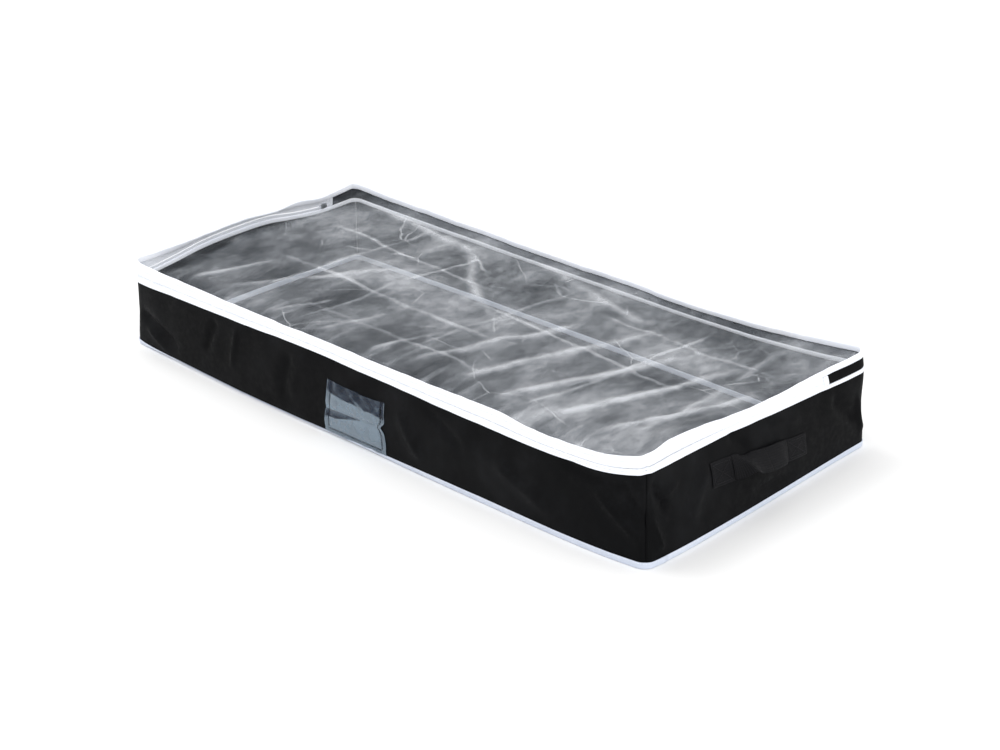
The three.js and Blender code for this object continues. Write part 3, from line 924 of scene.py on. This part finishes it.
# ---- Slider and pull ----
def slab(outline, thickness, bevel, windows=()):
    """Bevelled plate from an outline in (a, b), with its thickness along c, as points and faces."""
    curve = bpy.data.curves.new("outline", "CURVE")
    curve.dimensions = "2D"
    curve.fill_mode = "BOTH"
    curve.extrude = thickness / 2 - bevel
    curve.bevel_depth = bevel
    curve.bevel_resolution = 2
    curve.offset = -bevel
    for points in (outline, *windows):
        spline = curve.splines.new("POLY")
        spline.points.add(len(points) - 1)
        spline.use_cyclic_u = True
        for point, (a, b) in zip(spline.points, points):
            point.co = (a, b, 0, 1)
    holder = bpy.data.objects.new("outline", curve)
    bpy.context.scene.collection.objects.link(holder)
    bpy.context.view_layer.update()
    mesh = holder.to_mesh()
    points = np.array([v.co[:] for v in mesh.vertices])
    faces = [list(p.vertices) for p in mesh.polygons]
    holder.to_mesh_clear()
    bpy.data.objects.remove(holder)
    bpy.data.curves.remove(curve)
    return points, faces


def tube(points, radius, spokes=8):
    """Round bar through points, closed at its ends."""
    points = np.asarray(points, float)
    step = np.gradient(points, axis=0)
    step /= np.linalg.norm(step, axis=1)[:, None]
    first = np.cross(step, (0, 0, 1))
    first /= np.linalg.norm(first, axis=1)[:, None]
    second = np.cross(step, first)
    angle = np.linspace(0, math.tau, spokes, endpoint=False)[None, :, None]
    rings = points[:, None] + radius * (first[:, None] * np.cos(angle) + second[:, None] * np.sin(angle))
    return rings.reshape(-1, 3), ring_faces(len(points), spokes) + round_caps(len(points), spokes)


def joined(name, parts):
    """One object from several (points, faces) parts."""
    points, faces, offset = [], [], 0
    for part_points, part_faces in parts:
        points.append(part_points)
        faces += [[offset + i for i in face] for face in part_faces]
        offset += len(part_points)
    obj = add_mesh(name, np.concatenate(points), faces)
    obj.data.validate()
    weld = obj.modifiers.new("weld", "WELD")
    weld.merge_threshold = 0.001 * MM
    apply_modifiers(obj)
    return outward_faces(obj)


def rounded(length, height, corner, steps=5):
    """Rectangle with rounded corners, centred on the origin."""
    points = []
    for k, (sx, sy) in enumerate(((1, 1), (-1, 1), (-1, -1), (1, -1))):
        for angle in np.linspace(k, k + 1, steps) * math.pi / 2:
            x = sx * (length / 2 - corner) + corner * math.cos(angle)
            y = sy * (height / 2 - corner) + corner * math.sin(angle)
            points.append((x, y))
    return points


SLIDER_PLATE = 1.5 * MM
PLATE_CLEARANCE = 0.3 * MM
POST_LENGTH, POST_HEIGHT = 4 * MM, 0.6 * MM
BAIL_STAND, BAIL_HALF, BAIL_WIRE = 3.1 * MM, 3.0 * MM, 0.65 * MM
PULL_THICKNESS = 1.4 * MM
# Outline of the pull tab, as shares of its length and width.
PULL_OUTLINE = [
    (-0.5, -0.40), (-0.47, -0.46), (-0.2, -0.36), (0.1, -0.42), (0.36, -0.5), (0.46, -0.34), (0.5, -0.12),
    (0.5, 0.12), (0.46, 0.34), (0.36, 0.5), (0.1, 0.42), (-0.2, 0.36), (-0.47, 0.46), (-0.5, 0.40),
]


def make_slider():
    """Slider body on the coil: two shield plates, the post between them and the bail."""
    low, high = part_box("zip_slider")
    centre_y, centre_z = (low.y + high.y) / 2, (low.z + high.z) / 2
    length, height = high.y - low.y, high.z - low.z
    inner_x = high.x - SLIDER_PLATE / 2
    outer_x = -HALF_X + COIL_U[0] - PLATE_CLEARANCE - SLIDER_PLATE / 2

    def upright_plate(x, points):
        return np.stack([x + points[:, 2], centre_y + points[:, 0], centre_z + points[:, 1]], axis=1)

    shield = rounded(length, height, 2.2 * MM)
    shield = [(a, b * (1 - 0.16 * smooth((a / length + 0.1) * 2))) for a, b in shield]
    parts = []
    for x in (outer_x, inner_x):
        points, faces = slab(shield, SLIDER_PLATE, 0.35 * MM)
        parts.append((upright_plate(x, points), faces))
    post, faces = slab(rounded(POST_LENGTH, POST_HEIGHT, 0.25 * MM), inner_x - outer_x, 0.05 * MM)
    parts.append((upright_plate((outer_x + inner_x) / 2, post), faces))
    angle = np.linspace(0, math.pi, 15)
    foot_x = outer_x - SLIDER_PLATE / 2 + 0.4 * MM
    arch_x = foot_x - BAIL_STAND * np.sin(angle)
    arch = np.stack([arch_x, centre_y + BAIL_HALF * np.cos(angle), np.full(15, centre_z)], axis=1)
    parts.append(tube(arch, BAIL_WIRE))
    slider = joined("zip_slider_body", parts)
    finish_piece(slider, METAL, "zip_slider", ["zip_slider"])


def make_pull():
    """Pull tab with a window for the bail and a round eye, hanging from the slider."""
    slider_low, slider_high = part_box("zip_slider")
    slider_y = (slider_low.y + slider_high.y) / 2
    low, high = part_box("zip_pull")
    middle_x, middle_y, middle_z = ((low[i] + high[i]) / 2 for i in range(3))
    reach, wide = high.y - low.y, high.z - low.z
    tab = [(a * reach, b * wide) for a, b in PULL_OUTLINE]
    window = [(a - reach / 2 + 3.1 * MM, b) for a, b in rounded(3.6 * MM, 3.0 * MM, 0.8 * MM)]
    eye = [(a + reach / 2 - 5.5 * MM, b) for a, b in rounded(3.4 * MM, 3.4 * MM, 1.69 * MM)]
    points, faces = slab(tab, PULL_THICKNESS, 0.3 * MM, [window[::-1], eye[::-1]])
    towards = 1 if abs(high.y - slider_y) > abs(low.y - slider_y) else -1
    y = middle_y + towards * points[:, 0]
    placed = np.stack([middle_x + points[:, 2], y, middle_z + points[:, 1]], axis=1)
    pull = joined("zip_pull_tab", [(placed, faces)])
    finish_piece(pull, METAL, "zip_pull", ["zip_pull"])


# ---- Lid film ----
# Storage creases and drag folds: two ends in metres, half width and height in millimetres, and added haze,
# partly real crease whitening and partly painted highlight.
FILM_FOLDS = [
    ((-0.462, -0.215), (-0.448, 0.20), 22, 6.0, 0.10),
    ((-0.30, -0.20), (-0.27, 0.21), 6, 0.9, 0.30),
    ((-0.17, -0.21), (-0.14, 0.20), 6, 0.8, 0.26),
    ((0.02, -0.20), (0.05, 0.21), 6, 0.8, 0.22),
    ((0.26, -0.21), (0.29, 0.20), 6, 0.9, 0.26),
    ((-0.43, 0.085), (0.00, 0.070), 6, 0.9, 0.34),
    ((-0.40, -0.045), (0.12, -0.065), 7, 1.0, 0.34),
    ((-0.05, 0.020), (0.42, -0.010), 6, 0.9, 0.28),
    ((-0.25, -0.14), (0.20, -0.150), 6, 0.7, 0.20),
    ((0.10, 0.120), (0.47, 0.100), 6, 0.8, 0.24),
    ((-0.36, -0.20), (-0.16, 0.06), 12, 1.6, 0.30),
    ((-0.20, 0.17), (0.04, -0.02), 11, 1.5, 0.28),
    ((0.05, -0.21), (0.14, 0.10), 13, 2.2, 0.34),
    ((0.13, -0.21), (0.23, 0.14), 14, 2.4, 0.38),
    ((0.21, -0.215), (0.31, 0.10), 13, 2.2, 0.34),
    ((0.29, -0.215), (0.40, 0.12), 15, 2.6, 0.42),
    ((0.37, -0.215), (0.47, 0.05), 13, 2.2, 0.34),
    ((0.43, -0.20), (0.40, 0.19), 12, 1.8, 0.24),
    ((-0.10, 0.20), (0.22, 0.13), 12, 2.0, 0.30),
    ((-0.44, 0.19), (-0.12, 0.15), 14, 2.2, 0.34),
    ((-0.02, -0.21), (0.02, -0.08), 8, 1.2, 0.26),
    ((-0.12, -0.21), (-0.09, -0.09), 8, 1.2, 0.24),
    ((-0.22, -0.21), (-0.18, -0.10), 8, 1.2, 0.24),
    ((-0.41, -0.20), (-0.36, -0.06), 9, 1.4, 0.24),
]


def film_shape(x, y, edge):
    """Height above the rim and haze of the film at a place; edge is the distance to the nearest side. The
    haze is partly real milkiness and partly painted reflection: its zones, the clearer strip at the left end
    and the clearer band along the front left stand in for where the film reflects more and less light.
    """
    away = smooth(edge / 0.035)
    lift = 2.5 * away + 1.6 * wander(x / 0.16 + 2, y / 0.12 + 4) * away
    lift = lift + 0.8 * wander(x / 0.05, y / 0.07 + 13) * away + 0.3 * wander(x / 0.017, y / 0.03) * away
    haze_and_painted_light = 0.36 + 0.12 * wander(x / 0.15 + 30, y / 0.10 + 8) + 0.10 * wander(x / 0.045 + 5, y / 0.07 + 17)
    bent_x = x + 0.006 * wander(x / 0.09, y / 0.06 + 50) + 0.002 * wander(x / 0.02, y / 0.02 + 55)
    bent_y = y + 0.006 * wander(x / 0.08 + 60, y / 0.07) + 0.002 * wander(x / 0.02 + 65, y / 0.02)
    for start, end, width, height, added in FILM_FOLDS:
        fold = ridge(bent_x, bent_y, start, end, width * MM)
        broken = 0.75 + 0.45 * wander(x / 0.05 + start[0] * 90, y / 0.05 + start[1] * 90)
        lift = lift + height * fold * away * broken
        haze_and_painted_light = haze_and_painted_light + added * fold * broken
    pulls = np.clip(wander(x / 0.009, y / 0.09 + 40), 0, 1) * np.exp(-(y + HALF_Y) / 0.05)
    lift = lift + 0.9 * pulls * smooth(edge / 0.012)
    haze_and_painted_light = haze_and_painted_light + 0.22 * pulls - 0.14 * np.exp(-(y + HALF_Y) / 0.06) * (x < 0.1)
    left_strip = 1 - smooth((x + HALF_X - 0.042 - 0.006 * wander(y / 0.05, 2.5)) / 0.02)
    clear = 0.17 + 0.13 * wander(x / 0.012, y / 0.03 + 70)
    return lift * MM, np.clip(haze_and_painted_light * (1 - left_strip) + clear * left_strip, 0.03, 1.0)


def make_film():
    """One sheet of film sewn into the lid binding on all four sides."""
    columns, rows = 360, 162
    around = np.linspace(0, ROUND, 3000, endpoint=False)
    height = LID_BINDING_Z[0] - 0.6 * MM + hang(6, around) * 8 * MM
    depth = LID_BINDING_U[1] - 0.4 * MM - hang(6, around) * 0.9 * MM
    edge_line = cloth(around, height, depth)
    a, b = np.meshgrid(np.linspace(0, 1, columns), np.linspace(0, 1, rows))
    points = coons(lambda side, t: at_share(edge_line, side, t), a, b)
    lift, haze_and_painted_light = film_shape(points[..., 0], points[..., 1], edge_distance(a, b))
    points[..., 2] += lift
    flat = np.stack([points[..., 0], points[..., 1], np.zeros_like(lift)], axis=-1)
    film = sheet_mesh("lid_film_sheet", points, flat, 0.5 * MM, haze_and_painted_light)
    finish_piece(film, LID_FILM, "lid", ["lid_film", "lid_film_rear"])


# ---- Label pocket ----
POCKET_SHIFT = 14 * MM
POCKET_MARGIN = 7 * MM
POCKET_FOLD_WIDTH = 5 * MM


def pocket_shape(x, z, across, up, low, high):
    """Moves along the wall, upwards and outwards of the pocket's film, and its haze, which also carries
    painted shade below the fold and a painted highlight streak across the dark top.
    """
    width, height = high.x - low.x, high.z - low.z
    fold_line = low.z + (0.46 + 0.06 * across) * height
    at_fold = np.exp(-((z - fold_line) / POCKET_FOLD_WIDTH) ** 2)
    outward = 2 * across - 1
    sideways = 1.0 * wander(z / 0.014, 33.5) + 4.5 * (1 - up) - 6.5 * at_fold * (outward > 0)
    sideways = (sideways - 2.0 * at_fold * (outward < 0)) * MM * outward
    upwards = 1.3 * MM * wander(x / 0.02, 37.5) * up ** 3 - 0.8 * MM * wander(x / 0.03, 43.5) * (1 - up) ** 3
    upwards = upwards - (2 + 6 * up) * MM
    seam = np.minimum(np.minimum(across, 1 - across) * width, up * height) - POCKET_MARGIN
    flare = smooth(-seam / POCKET_MARGIN) * (0.7 + 0.6 * wander(x / 0.012, z / 0.012 + 47))
    pillow = 1.4 + 1.0 * up ** 2 + 0.5 * wander(x / 0.025, z / 0.02) - 2.0 * at_fold
    bulge = (pillow * smooth(seam / (12 * MM)) + flare) * MM

    top_line = 0.79 - 0.12 * across + 0.04 * wander(x / 0.015, 51.5)
    dark_top = smooth((up - top_line) / 0.04)
    # A band of painted shade just below the fold, narrowing towards the right.
    painted_shade_height = 0.15 * (1 - smooth((across - 0.05) / 0.6))
    under_fold = (fold_line - z) / height
    painted_shade_below_fold = smooth((under_fold + 0.01) / 0.02) * (1 - smooth((under_fold - painted_shade_height) / 0.03))
    painted_shade_below_fold = painted_shade_below_fold * (across < 0.62)
    # A painted highlight streak across the dark top.
    painted_highlight_streak = ridge(x, z, (low.x + 0.045, high.z - 0.008), (high.x + 0.01, high.z - 0.045), 3.5 * MM)
    haze_and_painted_light = 0.80 + 0.07 * wander(x / 0.03, z / 0.02) - 0.55 * dark_top - 0.58 * painted_shade_below_fold + 0.20 * at_fold
    haze_and_painted_light = haze_and_painted_light + 0.45 * painted_highlight_streak * dark_top + 0.16 * wander(x / 0.007, z / 0.006 + 5) * dark_top
    rim = smooth((seam + POCKET_MARGIN - 0.6 * MM) / (0.5 * MM))
    haze_and_painted_light = np.where(seam < 0, haze_and_painted_light * 0.8, haze_and_painted_light) - 0.4 * np.exp(-(seam / (1.0 * MM)) ** 2)
    return sideways, upwards, bulge, np.clip(haze_and_painted_light * rim + 0.95 * (1 - rim), 0.04, 1.0)


def make_pocket():
    """Label window: film sewn down on three sides, open at the top, with a fold pressed across it."""
    low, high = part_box("label_pocket")
    width, height = high.x - low.x, high.z - low.z
    x, z = np.meshgrid(np.linspace(low.x, high.x, 112), np.linspace(low.z, high.z, 76))
    across, up = (x - low.x) / width, (z - low.z) / height
    sideways, upwards, bulge, haze_and_painted_light = pocket_shape(x, z, across, up, low, high)
    s = at(FRONT, x + POCKET_SHIFT + sideways)
    u = WALL_U[0] - 0.45 * MM - bulge
    flat = np.stack([s, z, u], axis=-1)
    pocket = sheet_mesh("label_pocket_film", cloth(s, z + upwards, u), flat, 0.4 * MM, haze_and_painted_light)

    def sewn(share_x, share_z):
        i = int(round(share_z * (z.shape[0] - 1)))
        j = int(round(share_x * (z.shape[1] - 1)))
        return s[i, j], z[i, j] + upwards[i, j]

    edge_x, edge_z = POCKET_MARGIN / width, POCKET_MARGIN / height
    left = [sewn(edge_x, share) for share in np.linspace(0.99, edge_z, 24)]
    foot = [sewn(share, edge_z) for share in np.linspace(edge_x, 1 - edge_x, 24)]
    right = [sewn(1 - edge_x, share) for share in np.linspace(edge_z, 0.99, 24)]
    thread = stitches("label_pocket_stitches", [left, foot, right], WALL_U[0] - 0.75 * MM, thread=0.4 * MM)
    finish_piece(pocket, POCKET_FILM, nodes=["label_pocket"])
    finish_piece(thread, BLACK_THREAD)


# ---- Handles ----
# Along the strap, as a share from front to rear: stand-off and drop in millimetres, twist in degrees.
STRAP_SHAPES = {
    "right": [(-1, 0, 0, 0), (-0.86, 4, 1, 20), (-0.68, 9, 2, 52), (-0.4, 9, 0, 34), (0.15, 9, -2, 22),
              (0.65, 6, -1, 12), (1, 0, 0, 0)],
    "left": [(-1, 0, 0, 0), (-0.6, 8, -2, -8), (0, 14, -6, -14), (0.6, 8, -2, -6), (1, 0, 0, 0)],
}
FORWARDS = {RIGHT: 1, LEFT: -1}
HANDLE_TILT = 0.07
REAR_DRAWN, REAR_DROP = 12 * MM, 4 * MM
WEBBING_THICKNESS = 1.2 * MM
PATCH_THICKNESS = 0.9 * MM
PATCH_U = PATCH_THICKNESS / 2


def make_patch(name, side, z_range, warp):
    """Webbing sewn flat to the wall; returns the lines of its box and cross seam."""
    low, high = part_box(name)
    run = sorted((at(side, FORWARDS[side] * low.y), at(side, FORWARDS[side] * high.y)))
    section = strip_section(upright(z_range, PATCH_U, 16), PATCH_THICKNESS)
    patch = sweep(f"{name}_webbing", stations(*run, 1.5 * MM), section, warp=warp)
    finish_piece(patch, WEBBING, nodes=[name])
    a, b = run[0] + 4 * MM, run[1] - 4 * MM
    c, d = z_range[0] + 3.5 * MM, z_range[1] - 3.5 * MM
    return [[(a, c), (b, c), (b, d), (a, d), (a, c)], [(a, c), (b, d)], [(a, d), (b, c)]]


def make_strap_half(name, side, sign, half_span, z_range, warp):
    """Half of the slack strap, from a patch to the middle: it stands off, drops and twists."""
    end = "rear" if sign > 0 else "front"
    table = np.array(STRAP_SHAPES[name], float)
    share = np.linspace(0, 1, 46) * sign
    stand, drop, twist = (through(share, table[:, 0], table[:, column])[:, None] for column in (1, 2, 3))
    twist = np.radians(twist)
    wide = z_range[1] - z_range[0]
    middle_line = np.stack([np.linspace(-0.5, 0.5, 15) * wide, np.zeros(15)], axis=1)
    outline = strip_section(middle_line, WEBBING_THICKNESS)
    up, out = outline[:, 0], outline[:, 1]
    cup = 0.8 * MM * np.sin(math.pi * (up / wide + 0.5)) * np.abs(share[:, None])
    z = sum(z_range) / 2 + drop * MM + up * np.cos(twist) - out * np.sin(twist)
    u = PATCH_U - stand * MM + up * np.sin(twist) + out * np.cos(twist) - cup
    s = np.broadcast_to(at(side, FORWARDS[side] * share * half_span)[:, None], z.shape)
    weave = np.stack([s, np.broadcast_to(up, z.shape), u], axis=-1).reshape(-1, 3)
    rings, size = z.shape
    grip = np.repeat(smooth((np.abs(share) - 0.55) / 0.4), size)
    faces = ring_faces(rings, size) + strip_caps(rings, size)
    strap = hung_mesh(f"handle_strap_{name}_{end}", *warp(s, z, u), faces, grip, weave)
    strap.data.materials.append(WEBBING)
    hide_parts(f"handle_strap_{name}")
    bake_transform(strap)


def make_handle(name):
    """Two sewn patches, the slack strap in two halves that meet in the middle, and the stitching."""
    side = RIGHT if name == "right" else LEFT
    forwards = FORWARDS[side]
    low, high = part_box(f"handle_strap_{name}")
    z_range = (low.z, high.z)
    half_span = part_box(f"handle_patch_{name}_rear")[0].y - 0.2 * MM
    middle_s = at(side, 0)

    def tilted(s, z, u):
        """The handle sits slightly askew: higher towards the front, its rear end drawn forwards and down."""
        y = forwards * (s - middle_s)
        rear = smooth((y - 0.02) / 0.05)
        return s - forwards * REAR_DRAWN * rear, z - HANDLE_TILT * y - REAR_DROP * rear, u

    seams = []
    for end, sign in (("front", -1), ("rear", 1)):
        seams += make_patch(f"handle_patch_{name}_{end}", side, z_range, tilted)
        make_strap_half(name, side, sign, half_span, z_range, tilted)
    lines = [[tilted(s, z, 0)[:2] for s, z in line] for line in seams]
    thread = stitches(f"handle_{name}_stitches", lines, -0.05 * MM, 2.2 * MM, 2.9 * MM, 0.35 * MM)
    finish_piece(thread, BLACK_THREAD)


# ---- Camera, floor and light ----
def make_camera():
    """Camera at the height and angle of a standing viewer, three metres off the front right corner."""
    azimuth, elevation, roll = math.radians(43.894), math.radians(25.217), math.radians(-0.652)
    distance, aside, above = 3.1114, 0.02799, 0.02211
    outwards = math.cos(elevation)
    back = Vector((math.sin(azimuth) * outwards, -math.cos(azimuth) * outwards, math.sin(elevation)))
    level = Vector((0, 0, 1)).cross(back).normalized()
    right = level * math.cos(roll) + back.cross(level) * math.sin(roll)
    up = back.cross(right)
    data = bpy.data.cameras.new("camera")
    data.sensor_width, data.lens = 36.0, 77.66
    data.clip_start, data.clip_end = 0.05, 50.0
    camera = bpy.data.objects.new("camera", data)
    bpy.context.scene.collection.objects.link(camera)
    camera.rotation_mode = "QUATERNION"
    camera.location = back * distance + right * aside + up * above
    turn = np.array([right, up, back]).T.tolist()
    camera.rotation_quaternion = Matrix(turn).to_quaternion()
    bpy.context.scene.camera = camera


def make_floor():
    mesh = bpy.data.meshes.new("floor")
    reach = 9.0
    corners = [(-reach, -reach, 0), (reach, -reach, 0), (reach, reach, 0), (-reach, reach, 0)]
    mesh.from_pydata(corners, [], [(0, 1, 2, 3)])
    floor = bpy.data.objects.new("floor", mesh)
    floor.location.z = -0.2 * MM
    bpy.context.scene.collection.objects.link(floor)
    shader = Shader("studio_floor", 0.9, 0.05)
    grain = shader.noise(shader.place(), 3.0, 2.0)
    shader.drive("Base Color", shader.mix(grain, colour(0.90, 0.90, 0.90), colour(0.92, 0.92, 0.92)))
    mesh.materials.append(shader.material)


def add_softbox(name, place, aim, size, power):
    light = bpy.data.lights.new(name, "AREA")
    light.shape, light.size, light.size_y, light.energy = "RECTANGLE", size[0], size[1], power
    holder = bpy.data.objects.new(name, light)
    holder.location = place
    holder.rotation_mode = "QUATERNION"
    holder.rotation_quaternion = (Vector(aim) - Vector(place)).to_track_quat("-Z", "Y")
    bpy.context.scene.collection.objects.link(holder)


def make_light():
    scene = bpy.context.scene
    scene.view_settings.view_transform = "Standard"
    scene.view_settings.look = "None"
    world = bpy.data.worlds.new("studio")
    world.use_nodes = True
    world.node_tree.nodes["Background"].inputs["Color"].default_value = (1.0, 1.0, 1.0, 1.0)
    world.node_tree.nodes["Background"].inputs["Strength"].default_value = 1.0
    scene.world = world
    add_softbox("key", (-1.6, -0.4, 2.6), (0, 0, 0.05), (2.0, 1.4), 34.0)
    add_softbox("side", (2.6, -0.9, 1.1), (0.4, 0, 0.05), (1.2, 0.8), 16.0)
    add_softbox("rear", (0.4, 3.0, 1.6), (0, 0, 0.1), (2.6, 0.8), 22.0)


make_camera()
make_floor()
make_light()
make_walls()
make_base()
make_hinge_strip()
make_bindings()
make_binding_stitches()
make_zip()
make_slider()
make_pull()
make_film()
make_pocket()
make_handle("right")
make_handle("left")
